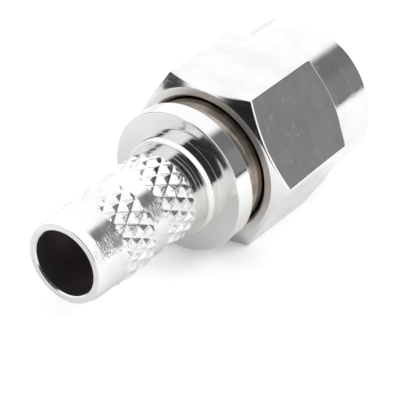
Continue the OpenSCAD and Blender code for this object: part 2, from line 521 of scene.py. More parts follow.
class Effects:
    """The node groups that more than one finish uses, each built once.

    Scales are in features per metre, and a pair is where a soft step starts and ends.

    Attributes:
        BROAD_SHARE: How many broad bands of unevenness there are to one lathe ring.
        RUBBED_SCALE: Scale of the patches where the rings are rubbed away.
        RUBBED_EDGES: The soft step around those patches.
        RING_EDGES: The soft step that makes rings from a noise.
        SCRATCH_TURN: Turn of the scratches' direction, in radians.
        SCRATCH_STRETCH: Scale of the scratches' noise along each turned axis.
        WEAR_PATCH_SHARE: Scale of the worn patches, as a multiple of the scratches'.
        WEAR_EDGES: The soft step around those patches.
        SPECK_SHARE: Scale of the specks, as a multiple of the scratches'.
        SPECK_EDGES: The soft step around a speck, from outside to inside.
        CLOUD_EDGES: The soft step that makes clouds from a noise.
    """

    BROAD_SHARE = 0.12
    RUBBED_SCALE = 2600.0
    RUBBED_EDGES = (0.42, 0.6)
    RING_EDGES = (0.3, 0.7)
    SCRATCH_TURN = (0.5, 0.35, 0.8)
    SCRATCH_STRETCH = (1.0, 0.3, 1.0)
    WEAR_PATCH_SHARE = 1.7
    WEAR_EDGES = (0.44, 0.62)
    SPECK_SHARE = 3.0
    SPECK_EDGES = (0.16, 0.06)
    CLOUD_EDGES = (0.35, 0.65)

    def __init__(self) -> None:
        """Builds every group."""
        self.turning = self._turning_marks()
        self.wear = self._handling_wear()
        self.tone = self._cloudy_tone()

    def _turning_marks(self) -> bpy.types.NodeTree:
        """Fine rings left by a lathe tool: noise over the station and the radius only.

        Streaks above 0 lower them in the patches where a noise over the place is low.

        Returns:
            A group that gives the rings' height and a broad unevenness, both from 0 to 1.
        """
        board, given, out = new_group(
            "turning marks",
            {"Vector": (VECTOR, None), "Rings per metre": (FLOAT, 20000.0),
             "Streaks": (FLOAT, 0.0)},
            {"Height": FLOAT, "Unevenness": FLOAT},
        )
        split = board.add("ShaderNodeSeparateXYZ", inputs={0: given.outputs["Vector"]})
        ring = board.math("SQRT", board.math(
            "ADD",
            board.times(split.outputs["Y"], split.outputs["Y"]),
            board.times(split.outputs["Z"], split.outputs["Z"]),
        ))
        place = board.add("ShaderNodeCombineXYZ", inputs={"X": split.outputs["X"], "Y": ring})
        rate = given.outputs["Rings per metre"]
        fine = board.noise(place.outputs[0], rate, 2.0, "2D", 0.6)
        broad_rate = board.times(rate, self.BROAD_SHARE)
        broad = board.noise(place.outputs[0], broad_rate, 1.0, "2D")
        patches = board.noise(given.outputs["Vector"], self.RUBBED_SCALE, 3.0)
        whole = board.ramp(patches, *self.RUBBED_EDGES)
        lost = board.times(given.outputs["Streaks"], board.math("SUBTRACT", 1.0, whole))
        left = board.math("SUBTRACT", 1.0, lost)
        rings = board.ramp(fine, *self.RING_EDGES)
        board.feed(out.inputs["Height"], board.times(rings, left))
        board.feed(out.inputs["Unevenness"], board.ramp(broad, *self.RING_EDGES))
        return board.tree

    def _handling_wear(self) -> bpy.types.NodeTree:
        """Hair scratches and small specks from handling.

        A scratch is a narrow band where one stretched noise is near its middle value, kept only
        where a second noise is high. A speck is the middle of a cell of a Voronoi pattern, kept
        in the same places.

        Returns:
            A group that gives both as masks from 0 to 1.
        """
        board, given, out = new_group(
            "handling wear",
            {"Vector": (VECTOR, None), "Scale": (FLOAT, 900.0), "Width": (FLOAT, 0.02)},
            {"Scratches": FLOAT, "Specks": FLOAT},
        )
        turned_way = board.add(
            "ShaderNodeMapping",
            inputs={"Vector": given.outputs["Vector"], "Rotation": self.SCRATCH_TURN,
                    "Scale": self.SCRATCH_STRETCH},
        )
        scale = given.outputs["Scale"]
        lines = board.noise(turned_way.outputs[0], scale, 1.5)
        off_line = board.math("ABSOLUTE", board.math("SUBTRACT", lines, 0.5))
        near = board.math("SUBTRACT", 1.0, board.math("DIVIDE", off_line, given.outputs["Width"]))
        patch_scale = board.times(scale, self.WEAR_PATCH_SHARE)
        kept = board.ramp(board.noise(given.outputs["Vector"], patch_scale, 2.0), *self.WEAR_EDGES)
        scratches = board.times(board.math("MAXIMUM", near, 0.0), kept)
        cells = board.add("ShaderNodeTexVoronoi", {"feature": "F1"}, {
            "Vector": given.outputs["Vector"],
            "Scale": board.times(scale, self.SPECK_SHARE)})
        inside = board.ramp(cells.outputs["Distance"], *self.SPECK_EDGES)
        specks = board.times(inside, kept)
        board.feed(out.inputs["Scratches"], scratches)
        board.feed(out.inputs["Specks"], specks)
        return board.tree

    def _cloudy_tone(self) -> bpy.types.NodeTree:
        """A base colour that drifts softly between two tones over the surface.

        Returns:
            A group that gives the colour and the cloud's value from 0 to 1.
        """
        board, given, out = new_group(
            "cloudy tone",
            {"Vector": (VECTOR, None), "Scale": (FLOAT, 300.0),
             "Light": (COLOUR, (0.8, 0.8, 0.8, 1.0)), "Deep": (COLOUR, (0.6, 0.6, 0.6, 1.0))},
            {"Color": COLOUR, "Cloud": FLOAT},
        )
        drift = board.noise(given.outputs["Vector"], given.outputs["Scale"], 3.0)
        cloud = board.ramp(drift, *self.CLOUD_EDGES)
        colour = board.mix(cloud, given.outputs["Light"], given.outputs["Deep"])
        board.feed(out.inputs["Color"], colour)
        board.feed(out.inputs["Cloud"], cloud)
        return board.tree


def start_material(name: str) -> tuple[bpy.types.Material, NodeBoard, bpy.types.Node, Source]:
    """Starts a material with a Principled shader and Object coordinates.

    Args:
        name: The material's name.

    Returns:
        The material, its board, the shader node and the coordinates' socket.
    """
    material = bpy.data.materials.new(name)
    material.use_nodes = True
    board = NodeBoard(material.node_tree)
    shader = board.add("ShaderNodeBsdfPrincipled")
    board.add("ShaderNodeOutputMaterial", inputs={"Surface": shader.outputs[0]})
    place = board.add("ShaderNodeTexCoord").outputs["Object"]
    return material, board, shader, place


# ---------------------------------------------------------------------------
# Finishes
# ---------------------------------------------------------------------------


# The plating where handling has rubbed it bright.
RUBBED_BRIGHT = (0.93, 0.92, 0.9, 1.0)


@dataclass(frozen=True)
class PlatedFinish:
    """Bright plated metal with lathe marks, clouding and handling wear.

    Attributes:
        name: The material's name.
        light: The plating's colour.
        deep: Its colour in the clouded places.
        roughness: Roughness of the clean plating.
        rings: Lathe marks per metre.
        mark_depth: Height of the lathe marks, in metres.
        wear_scale: Scale of the scratches and specks.
        wear_depth: Depth of the scratches, in metres.
        wear_strength: How much the wear changes and dulls the plating.
        speck_tone: The colour that the specks tend to.
        tone_scale: Scale of the clouding.
        streaks: How much of the lathe marks is rubbed away in patches, from 0 to 1.
        mottle_scale: Scale of the uneven grain under the plating.
        mottle_depth: Height of that grain, in metres.
        mottle_side: Direction from the axis of the side that has the grain, or no direction
            for the whole surface.
        mottle_edges: How far along that direction the grain starts and is full, in metres.
        mottle_draw: Scale of the grain along each axis on a grained side.
        patch_scale: Scale of the patches that a grained side's grain comes in.
        patch_edges: The soft step around those patches.
        scratch_tone: The colour that the scratches tend to.
        ring_dulling: Roughness that the rings' unevenness adds.
        cloud_dulling: Roughness that the clouding adds.
        wear_dulling: Roughness that the wear adds at a wear_strength of 1.
    """

    name: str
    light: Colour
    deep: Colour
    roughness: float = 0.12
    rings: float = 24000.0
    mark_depth: float = 3e-7
    wear_scale: float = 900.0
    wear_depth: float = 1.2e-7
    wear_strength: float = 0.2
    speck_tone: Colour = RUBBED_BRIGHT
    tone_scale: float = 420.0
    streaks: float = 0.0
    mottle_scale: float = 3000.0
    mottle_depth: float = 3e-7
    mottle_side: Direction | None = None
    mottle_edges: tuple[float, float] = (0.0, 0.001)
    mottle_draw: Direction = (3.0, 1.0, 1.0)
    patch_scale: float = 900.0
    patch_edges: tuple[float, float] = (0.3, 0.5)
    scratch_tone: Colour = RUBBED_BRIGHT
    ring_dulling: float = 0.05
    cloud_dulling: float = 0.03
    wear_dulling: float = 0.6

    def build(self, effects: Effects) -> bpy.types.Material:
        """Makes the material.

        Args:
            effects: The shared node groups.

        Returns:
            The finished material.
        """
        material, board, shader, place = start_material(self.name)
        tone = board.place(effects.tone, {"Vector": place, "Scale": self.tone_scale,
                                          "Light": self.light, "Deep": self.deep})
        marks = board.place(effects.turning, {"Vector": place, "Rings per metre": self.rings,
                                              "Streaks": self.streaks})
        wear = board.place(effects.wear, {"Vector": place, "Scale": self.wear_scale})
        worn = board.math("MAXIMUM", wear.outputs["Scratches"], wear.outputs["Specks"])
        base = board.mix(board.times(wear.outputs["Scratches"], self.wear_strength),
                         tone.outputs["Color"], self.scratch_tone)
        base = board.mix(board.times(wear.outputs["Specks"], self.wear_strength), base,
                         self.speck_tone)
        board.feed(shader.inputs["Base Color"], base)
        shader.inputs["Metallic"].default_value = 1.0
        rough = board.times_plus(marks.outputs["Unevenness"], self.ring_dulling, self.roughness)
        rough = board.times_plus(tone.outputs["Cloud"], self.cloud_dulling, rough)
        rough = board.times_plus(worn, self.wear_strength * self.wear_dulling, rough)
        board.feed(shader.inputs["Roughness"], rough)
        grain = board.bump(marks.outputs["Height"], self.mark_depth)
        mottle = board.bump(self.mottle_height(board, place), self.mottle_depth, grain)
        cuts = board.bump(wear.outputs["Scratches"], self.wear_depth, mottle, inward=True)
        board.feed(shader.inputs["Normal"], cuts)
        return material

    def mottle_height(self, board: NodeBoard, place: Source) -> bpy.types.NodeSocket:
        """Height of the uneven grain: a noise, drawn out round the axis on a grained side only.

        Args:
            board: The material's board.
            place: The Object coordinates.

        Returns:
            The height's socket.
        """
        if self.mottle_side is None:
            return board.noise(place, self.mottle_scale, 2.0)
        drawn = board.add("ShaderNodeMapping", inputs={"Vector": place, "Scale": self.mottle_draw})
        height = board.noise(drawn.outputs[0], self.mottle_scale, 2.0)
        side = board.ramp(board.dot(place, self.mottle_side), *self.mottle_edges)
        patches = board.ramp(board.noise(place, self.patch_scale, 2.0), *self.patch_edges)
        return board.times(height, board.times(side, patches))


@dataclass(frozen=True)
class DarkBoreFinish:
    """The dark inside of the stem. Its colour along the bore is painted light and shade: darkest at the
    open end, where more light falls, and lighter deep inside, where less does, so that the bore looks
    evenly dark.

    Attributes:
        name: The material's name.
        light: The colour deep inside, kept light there as painted light.
        deep: Its colour there in the clouded places.
        mouth_painted_shade: Its colour at the open end, made dark as painted shade.
        mouth: Station of the open end, where the painted shade is darkest, in metres.
        fade: Length over which the painted shade gives way to the painted light, in metres.
        tone_scale: Scale of the clouding.
        rings: Lathe marks per metre.
        mark_depth: Height of the lathe marks, in metres.
        roughness: Roughness of the bore's surface.
        ring_dulling: Roughness that the rings' unevenness adds.
        shine: Strength of its mirror-like shine.
    """

    name: str = "dark bore"
    light: Colour = (0.42, 0.35, 0.39, 1.0)
    deep: Colour = (0.36, 0.30, 0.335, 1.0)
    mouth_painted_shade: Colour = (0.045, 0.037, 0.042, 1.0)
    mouth: float = -0.0155
    fade: float = 0.0026
    tone_scale: float = 700.0
    rings: float = 9000.0
    mark_depth: float = 2e-6
    roughness: float = 0.62
    ring_dulling: float = 0.2
    shine: float = 0.15

    def build(self, effects: Effects) -> bpy.types.Material:
        """Makes the material.

        Args:
            effects: The shared node groups.

        Returns:
            The finished material.
        """
        material, board, shader, place = start_material(self.name)
        tone = board.place(effects.tone, {"Vector": place, "Scale": self.tone_scale,
                                          "Light": self.light, "Deep": self.deep})
        marks = board.place(effects.turning, {"Vector": place, "Rings per metre": self.rings})
        # Painted light and shade along the bore: the colour is darkest at the open end, where more
        # light falls, and lighter deep inside, where less does.
        station = board.add("ShaderNodeSeparateXYZ", inputs={0: place}).outputs["X"]
        depth = board.ramp(station, self.mouth, self.mouth + self.fade)
        # The square of the depth is the share of painted light, which is lighter deep inside.
        clean = board.times(depth, depth)
        base = board.mix(clean, self.mouth_painted_shade, tone.outputs["Color"])
        board.feed(shader.inputs["Base Color"], base)
        rough = board.times_plus(marks.outputs["Unevenness"], self.ring_dulling, self.roughness)
        board.feed(shader.inputs["Roughness"], rough)
        shader.inputs["Specular IOR Level"].default_value = self.shine
        board.feed(shader.inputs["Normal"], board.bump(marks.outputs["Height"], self.mark_depth))
        return material


@dataclass(frozen=True)
class MouldedFinish:
    """Plastic or rubber with a fine grain and a soft change of tone.

    Attributes:
        name: The material's name.
        light: The colour.
        deep: The colour in the clouded places.
        roughness: Roughness of the surface.
        grain_scale: Scale of the grain.
        grain_depth: Height of the grain, in metres.
        sheen: Weight of a dusty sheen.
        tone_scale: Scale of the clouding.
        rings: Lathe or mould marks per metre.
        ring_share: Height of those marks, as a share of the grain's.
        grain_spread: How far the grain spreads the roughness, from its lowest to its highest.
    """

    name: str
    light: Colour
    deep: Colour
    roughness: float
    grain_scale: float
    grain_depth: float
    sheen: float = 0.0
    tone_scale: float = 500.0
    rings: float = 14000.0
    ring_share: float = 0.4
    grain_spread: float = 0.16

    def build(self, effects: Effects) -> bpy.types.Material:
        """Makes the material.

        Args:
            effects: The shared node groups.

        Returns:
            The finished material.
        """
        material, board, shader, place = start_material(self.name)
        tone = board.place(effects.tone, {"Vector": place, "Scale": self.tone_scale,
                                          "Light": self.light, "Deep": self.deep})
        marks = board.place(effects.turning, {"Vector": place, "Rings per metre": self.rings})
        grain = board.noise(place, self.grain_scale, 4.0)
        board.feed(shader.inputs["Base Color"], tone.outputs["Color"])
        rough = board.times_plus(grain, self.grain_spread, self.roughness - self.grain_spread / 2)
        board.feed(shader.inputs["Roughness"], rough)
        shader.inputs["Sheen Weight"].default_value = self.sheen
        height = board.times_plus(marks.outputs["Height"], self.ring_share, grain)
        board.feed(shader.inputs["Normal"], board.bump(height, self.grain_depth))
        return material


Finish = PlatedFinish | DarkBoreFinish | MouldedFinish


NICKEL_BODY = PlatedFinish("nickel plate, body", (0.80, 0.79, 0.773, 1.0), (0.77, 0.757, 0.737, 1.0),
                           roughness=0.08, mark_depth=1e-7)
NICKEL_STEM = PlatedFinish("nickel plate, stem", (0.85, 0.84, 0.825, 1.0), (0.79, 0.78, 0.76, 1.0),
                           roughness=0.14, rings=13000.0, mark_depth=2e-6, streaks=1.0,
                           wear_scale=1500.0, wear_strength=0.14, speck_tone=(0.2, 0.19, 0.2, 1.0),
                           mottle_scale=4200.0, mottle_depth=3.2e-5, mottle_side=(0.0, -0.94, 0.342),
                           mottle_edges=(0.0018, 0.00196))
# Painted shade: the neck's dark tan colour stands for the shade in the gap between the flange and the
# nut, and its warm tint is a painted reflection.
NECK_PAINTED_SHADE = PlatedFinish("neck, painted shade and warm reflection", (0.44, 0.38, 0.33, 1.0),
                           (0.26, 0.225, 0.19, 1.0), roughness=0.08, tone_scale=900.0)
NICKEL_SEAT = PlatedFinish("nickel plate, ring seat", (0.92, 0.90, 0.875, 1.0), (0.84, 0.82, 0.79, 1.0),
                           roughness=0.4, tone_scale=500.0)
NICKEL_NUT = PlatedFinish("nickel plate, nut", (0.82, 0.805, 0.79, 1.0), (0.74, 0.73, 0.715, 1.0),
                          roughness=0.09, wear_scale=1900.0, wear_depth=1e-7, wear_strength=0.22,
                          mottle_scale=1300.0, mottle_depth=1.6e-6)
GOLD = PlatedFinish("gold plate", (0.92, 0.70, 0.34, 1.0), (0.86, 0.61, 0.26, 1.0), roughness=0.16)
BRONZE = PlatedFinish("spring bronze", (0.74, 0.53, 0.32, 1.0), (0.60, 0.40, 0.22, 1.0),
                      roughness=0.28, rings=12000.0)
RUBBER = MouldedFinish("red silicone rubber", (0.55, 0.09, 0.05, 1.0), (0.44, 0.06, 0.04, 1.0),
                       0.52, 5200.0, 4e-6, 0.15)
PLASTIC = MouldedFinish("white turned plastic", (0.88, 0.88, 0.86, 1.0), (0.80, 0.80, 0.78, 1.0),
                        0.42, 2600.0, 2e-6)


# ---------------------------------------------------------------------------
# Pieces
# ---------------------------------------------------------------------------


@dataclass
class Piece:
    """What every sub-assembly's visible piece has in common.

    Attributes:
        effects: The shared node groups.
    """

    effects: Effects

    @staticmethod
    def ends(node: Node) -> tuple[float, float]:
        """The stations of a solid's back and front ends, from the frame."""
        low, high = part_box(node.value)
        return low[0] / MM, high[0] / MM

    def mount(self, name: str, surface: Surface, node: Node, carrier: Carrier, slot: Slot,
              *finishes: Finish) -> bpy.types.Object:
        """Makes the object, dresses it and joins it to the frame.

        Args:
            name: The object's name.
            surface: Its surface, in millimetres.
            node: The solid that it stands for.
            carrier: The body that it rides on.
            slot: The record's finish for the piece. It is not used.
            finishes: Its materials. Every face has the first one at the start.

        Returns:
            The new object.
        """
        mesh = surface.mesh(name)
        mesh.polygons.foreach_set("use_smooth", np.arange(len(mesh.polygons)) < len(surface.quads))
        mesh.update()
        piece = place_object(name, mesh)
        for finish in finishes:
            mesh.materials.append(finish.build(self.effects))
        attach(piece, carrier.value)
        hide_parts(node.value)
        LOG.info("%s: %d points, %d faces", name, len(mesh.vertices), len(mesh.polygons))
        return piece


class BodyFinish(IntEnum):
    """The body's materials, in the order of its slots."""

    PLATE = 0
    BORE = 1
    STEM = 2
    NECK = 3


@dataclass
class PlugBody(Piece):
    """Stem, boss, flange, neck and outer contact sleeve, turned from one bar.

    The fields are the drawing's radii, lengths and stations. A band's top is one place where
    the knurl stands highest, from which the whole pattern follows. The run-out is how far from
    a band's ends its relief starts and is full. The band's edge is how far from its ends its
    outermost rows of points lie, at a radius that stands a hair proud of the stem. The bar is
    cut under each band, up to the inset from the band's ends.
    The ring groove is a hundredth of a millimetre wider each way than the drawing's, so that
    the ring's side and the groove's wall don't lie in one plane where the nut's float ends.
    """

    stem_r: float = 2.1
    bore_r: float = 1.62
    bore_len: float = 5.5
    step_bore_r: float = 1.45
    stem_len: float = 7.5
    tip_r: float = 1.97
    tip_taper_len: float = 0.45
    mouth_break: float = 0.06
    crest_r: float = 2.21
    valley_r: float = 2.082
    sunk_r: float = 1.95
    undercut_r: float = 2.0
    undercut_inset: float = 0.03
    sharp: float = 0.004
    knurl_count: int = 20
    diamond_len: float = 1.26
    knurl_easing: float = 0.35
    knurl_len: float = 2.2
    run_out: tuple[float, float] = (0.09, 0.16)
    band_proud: float = 0.002
    band_edge: tuple[float, float] = (0.003, 0.03)
    columns_diamond: int = 24
    rows_diamond: int = 28
    band_starts: tuple[float, float] = (1.8, 4.72)
    band_tops: tuple[float, float] = (2.47, 5.19)
    top_angle: float = math.radians(128.8)
    boss_r: float = 2.5
    boss_len: float = 0.73
    boss_cone_len: float = 0.26
    boss_cone_drop: float = 0.1
    flange_r: float = 3.58
    flange_len: float = 1.03
    neck_r: float = 3.3
    ring_groove: tuple[float, float, float] = (-4.4, -3.58, 2.71)
    neck_front: float = -3.0
    sleeve_r: float = 2.29
    sleeve_bore_r: float = 2.055
    seat: float = -6.9
    columns: int = 168

    def build(self) -> bpy.types.Object:
        """Makes the body's piece.

        Returns:
            The object, with its bore, stem and neck in finishes of their own.
        """
        tail, rim = self.ends(Node.BODY)
        bands = [
            self.knurled_band(tail + start, tail + top)
            for start, top in zip(self.band_starts, self.band_tops)
        ]
        surface = self.turned_bar(tail, rim).joined(bands)
        piece = self.mount("body_plated_stem", surface, Node.BODY, Carrier.PLUG, Slot.BODY,
                           NICKEL_BODY, DarkBoreFinish(), NICKEL_STEM, NECK_PAINTED_SHADE)
        piece.data.polygons.foreach_set("material_index", self.face_finishes(surface, tail))
        return piece

    def face_finishes(self, surface: Surface, tail: float) -> np.ndarray:
        """Chooses each face's finish by its station and radius.

        The margins let in the roundings at the ends of each finish.

        Args:
            surface: The body's surface.
            tail: Station of the open end.

        Returns:
            The number of each face's material.
        """
        bore_margin, flange_margin, sleeve_margin, neck_margin = 0.004, 0.02, 0.1, 0.04
        station, radius = surface.face_middles()
        on_stem = station < tail + self.band_starts[1] + self.knurl_len
        in_bore = (radius < self.bore_r + bore_margin) & (station > tail + self.mouth_break)
        flange_front = tail + self.stem_len + self.boss_len + self.flange_len
        on_neck = (station > flange_front - flange_margin) & (radius > self.sleeve_r + sleeve_margin)
        finish = np.where(on_stem, BodyFinish.STEM, BodyFinish.PLATE)
        finish = np.where(in_bore & (station < self.seat), BodyFinish.BORE, finish)
        finish = np.where(on_neck & (radius < self.neck_r + neck_margin), BodyFinish.NECK, finish)
        return finish.astype(np.int32)

    def turned_bar(self, tail: float, rim: float) -> Surface:
        """The whole bar as one closed outline turned about the axis.

        Args:
            tail: Station of the open end.
            rim: Station of the sleeve's front rim.

        Returns:
            The closed surface, with an undercut under each knurled band.
        """
        boss = tail + self.stem_len
        flange = boss + self.boss_len
        flange_front = flange + self.flange_len
        groove_back, groove_front, groove_r = self.ring_groove
        undercuts = []
        for start in self.band_starts:
            back = tail + start + self.undercut_inset
            front = tail + start + self.knurl_len - self.undercut_inset
            undercuts += [(self.stem_r, back, self.sharp), (self.undercut_r, back, self.sharp),
                          (self.undercut_r, front, self.sharp), (self.stem_r, front, self.sharp)]
        # Each row is a corner's radius, its station and how much it is rounded.
        corners = [
            (self.bore_r + self.mouth_break, tail, 0.02),
            (self.tip_r, tail, 0.045),
            (self.stem_r, tail + self.tip_taper_len, 0.6),
            *undercuts,
            (self.stem_r, boss, 0.012),
            (self.boss_r - self.boss_cone_drop, boss, 0.09),
            (self.boss_r, boss + self.boss_cone_len, 0.35),
            (self.boss_r, flange, 0.012),
            (self.flange_r, flange, 0.07),
            (self.flange_r, flange_front, 0.07),
            (self.neck_r, flange_front, 0.015),
            (self.neck_r, groove_back, 0.03),
            (groove_r, groove_back, 0.03),
            (groove_r, groove_front, 0.03),
            (self.neck_r, groove_front, 0.03),
            (self.neck_r, self.neck_front, 0.08),
            (self.sleeve_r, self.neck_front, 0.03),
            (self.sleeve_r, rim, 0.08),
            (self.sleeve_bore_r, rim, 0.03),
            (self.sleeve_bore_r, self.seat, 0.02),
            (self.step_bore_r, self.seat, 0.02),
            (self.step_bore_r, tail + self.bore_len, 0.02),
            (self.bore_r, tail + self.bore_len, 0.03),
            (self.bore_r, tail + self.mouth_break, 0.02),
        ]
        return turned(rounded_rows(corners), full_circle(self.columns))

    def knurl_height(self, station: np.ndarray, angle: np.ndarray, top: float) -> np.ndarray:
        """Height of the diamond knurl, from 0 in a groove to 1 on a top.

        Two families of grooves cross. Counted in diamonds from a top, one family lies where
        the way around plus the way along is half a whole number, and the other where it is
        the way around less the way along. The height rises with the distance to the nearest
        groove, less a share of one sine wave, which eases both the groove and the top.

        Args:
            station: Stations along the axis, from the open end.
            angle: Angles about the axis.
            top: Station of one top.

        Returns:
            The height at each place.
        """
        around = self.knurl_count * (angle - self.top_angle) / (2 * np.pi)
        along = (station - top) / self.diamond_len
        first = 0.5 - np.abs((around + along + 0.5) % 1.0 - 0.5)
        second = 0.5 - np.abs((around - along + 0.5) % 1.0 - 0.5)
        climb = 2 * np.minimum(first, second)
        return climb - self.knurl_easing * np.sin(2 * np.pi * climb) / (2 * np.pi)

    def knurled_band(self, start: float, top: float) -> Surface:
        """One knurled band: a closed ring whose outer wall follows the knurl's height.

        The height fades to the plain stem's radius between the two run-out distances from the
        band's ends, so that the diamonds end as under a knurling wheel.

        Args:
            start: Station of the band's back end.
            top: Station of one of the pattern's tops.

        Returns:
            The ring's surface.
        """
        angles = full_circle(self.knurl_count * self.columns_diamond)
        inner_rows = int(self.knurl_len / self.diamond_len * self.rows_diamond)
        corner, edge_len = self.band_edge
        depth = np.concatenate([
            [0.0, corner],
            np.linspace(edge_len, self.knurl_len - edge_len, inner_rows),
            [self.knurl_len - corner, self.knurl_len],
        ])
        edge = np.minimum(depth, self.knurl_len - depth)
        fade_from, fade_to = self.run_out
        fade = eased((edge - fade_from) / (fade_to - fade_from))[None, :]
        height = self.knurl_height((start + depth)[None, :], angles[:, None], top)
        knurl_r = self.valley_r + (self.crest_r - self.valley_r) * height
        outer_r = (self.stem_r + self.band_proud) * (1 - fade) + knurl_r * fade
        inner_r = np.full((len(angles), 2), self.sunk_r)
        radius = np.concatenate([outer_r, inner_r], axis=1)
        stations = start + np.concatenate([depth, [self.knurl_len, 0.0]])
        outline = np.stack([radius, np.broadcast_to(stations, radius.shape)], axis=-1)
        return turned(outline, angles)


@dataclass
class CouplingNut(Piece):
    """The hexagonal nut with its round front, its ring groove and its thread.

    The thread's land and flank are shares of half a turn of it. Its fade is the distance from
    the thread's back end to where its groove starts, and the length over which it gets full
    depth. The rows are numbers of extra points along the thread's mouth and the thread.
    """

    apothem: float = 4.0
    rear_round: float = 0.1
    front_round: float = 0.32
    hex_len: float = 5.56
    front_r: float = 3.88
    face_r: float = 3.85
    chamfer: float = math.radians(30)
    front_break: float = 0.12
    thread_minor_r: float = 2.85
    thread_root_r: float = 3.175
    mouth_r: float = 3.21
    pitch: float = 25.4 / 36
    thread_start: float = -1.85
    thread_land: float = 0.2
    thread_flank: float = 0.66
    thread_fade: tuple[float, float] = (0.05, 0.25)
    mouth_rows: int = 8
    thread_rows: int = 90
    lip_bore_r: float = 3.38
    lip_break: float = 0.12
    groove: tuple[float, float, float] = (-4.27, -3.71, 3.62)
    columns_flat: int = 26
    columns_corner: int = 14

    def corner_start(self, rounding: float) -> float:
        """Angle from a flat's middle at which a corner of this rounding starts."""
        return math.atan((self.apothem - rounding) * math.tan(math.pi / 6) / self.apothem)

    def angles(self) -> np.ndarray:
        """Spaces the columns out: evenly on each flat, and densely in each rounded corner.

        Returns:
            The angles once around.
        """
        reach = self.corner_start(self.front_round)
        sixth = np.concatenate([
            np.linspace(-reach, reach, self.columns_flat, endpoint=False),
            np.linspace(reach, math.pi / 3 - reach, self.columns_corner, endpoint=False),
        ])
        flats = math.pi / 6 + np.arange(6) * math.pi / 3
        return (flats[:, None] + sixth[None, :]).ravel()

    def hexagon_r(self, angles: np.ndarray, rounding: float) -> np.ndarray:
        """Radius of the rounded hexagon at each angle.

        On a flat it is the apothem over the cosine of the angle from the flat's middle. In a
        corner it is where a ray from the axis meets the corner's rounding circle.

        Args:
            angles: Angles about the axis.
            rounding: Radius of the corners' rounding.

        Returns:
            The radius at each angle.
        """
        off = np.abs(angles % (math.pi / 3) - math.pi / 6)
        flat = self.apothem / np.cos(off)
        centre = (self.apothem - rounding) / math.cos(math.pi / 6)
        away = math.pi / 6 - off
        inside = rounding**2 - (centre * np.sin(away)) ** 2
        arc = centre * np.cos(away) + np.sqrt(np.maximum(inside, 0))
        return np.where(off <= self.corner_start(rounding), flat, arc)

    def build(self) -> bpy.types.Object:
        """Makes the nut's piece.

        Returns:
            The object, with its rear face and ring groove in a duller finish of their own.
        """
        back, front = self.ends(Node.COUPLING_NUT)
        angles = self.angles()
        outline = self.outline(back, front, self.hexagon_r(angles, self.rear_round),
                               self.hexagon_r(angles, self.front_round))
        outline = self.threaded(outline, angles, front)
        surface = turned(outline, angles)
        piece = self.mount("coupling_nut_plated", surface, Node.COUPLING_NUT, Carrier.NUT, Slot.NUT,
                           NICKEL_NUT, NICKEL_SEAT)
        station, radius = surface.face_middles()
        edge_margin = 0.02
        rear = (radius < self.face_r - edge_margin) & (station < self.thread_start)
        piece.data.polygons.foreach_set("material_index", rear.astype(np.int32))
        return piece

    def outline(self, back: float, front: float, rear_hex: np.ndarray,
                front_hex: np.ndarray) -> np.ndarray:
        """The nut's closed outline at every angle, with its plain bore.

        Args:
            back: Station of the nut's back face.
            front: Station of its front rim.
            rear_hex: The hexagon's radius at each angle, at its rear end.
            front_hex: The same at its front end, where polishing has rounded its corners more.

        Returns:
            Radius and station of each row, shape (angles, rows, 2).
        """
        rise = math.tan(self.chamfer)
        groove_back, groove_front, groove_r = self.groove
        lead = self.mouth_r - self.thread_minor_r
        shoulder = back + self.hex_len
        # Each row is a corner's radius, its station and how much it is rounded.
        table = [
            (self.lip_bore_r, back + self.lip_break, 0.02),
            (self.lip_bore_r + self.lip_break, back, 0.03),
            (self.face_r, back, 0.08),
            (rear_hex, back + (rear_hex - self.face_r) * rise, 0.16),
            (front_hex, shoulder - (front_hex - self.front_r) * rise, 0.3),
            (self.front_r, shoulder, 0.12),
            (self.front_r, front, self.front_break),
            (self.mouth_r, front, 0.03),
            (self.thread_minor_r, front - lead, 0.02),
            (self.thread_minor_r, self.thread_start, 0.02),
            (self.lip_bore_r, self.thread_start, 0.03),
            (self.lip_bore_r, groove_front, 0.02),
            (groove_r, groove_front, 0.02),
            (groove_r, groove_back, 0.02),
            (self.lip_bore_r, groove_back, 0.02),
        ]
        rows = [np.broadcast_arrays(*row, rear_hex)[:3] for row in table]
        corners = np.stack([np.stack([r, x], axis=-1) for r, x, _ in rows], axis=-2)
        rounding = np.stack([rounded for _, _, rounded in rows], axis=-1)
        mouth, minor = 7, 8
        return outline_rows(smooth_corners(corners, rounding),
                            {mouth: self.mouth_rows, minor: self.thread_rows})

    def threaded(self, outline: np.ndarray, angles: np.ndarray, front: float) -> np.ndarray:
        """Cuts the right-handed inside thread into the plain bore.

        The groove's depth at a station is a trapezium wave of the station over the pitch less
        the angle over a full turn. It fades out at the back.

        Args:
            outline: The plain outline at every angle.
            angles: The angle of each column.
            front: Station of the front rim.

        Returns:
            The outline with the thread.
        """
        radius, station = outline[..., 0], outline[..., 1]
        turns = (station - front) / self.pitch - angles[:, None] / (2 * np.pi)
        wave = np.abs((turns % 1.0) * 2 - 1)
        share = np.clip((wave - self.thread_land) / self.thread_flank, 0, 1)
        depth = share * (self.thread_root_r - self.thread_minor_r)
        fade_from, fade_len = self.thread_fade
        fade = eased((station - self.thread_start - fade_from) / fade_len)
        cut = np.maximum(radius, self.thread_minor_r + depth * fade)
        hair, past_wall = 1e-6, 0.01
        in_bore = (radius < self.mouth_r + hair) & (station > self.thread_start + past_wall)
        return np.stack([np.where(in_bore, cut, radius), station], axis=-1)


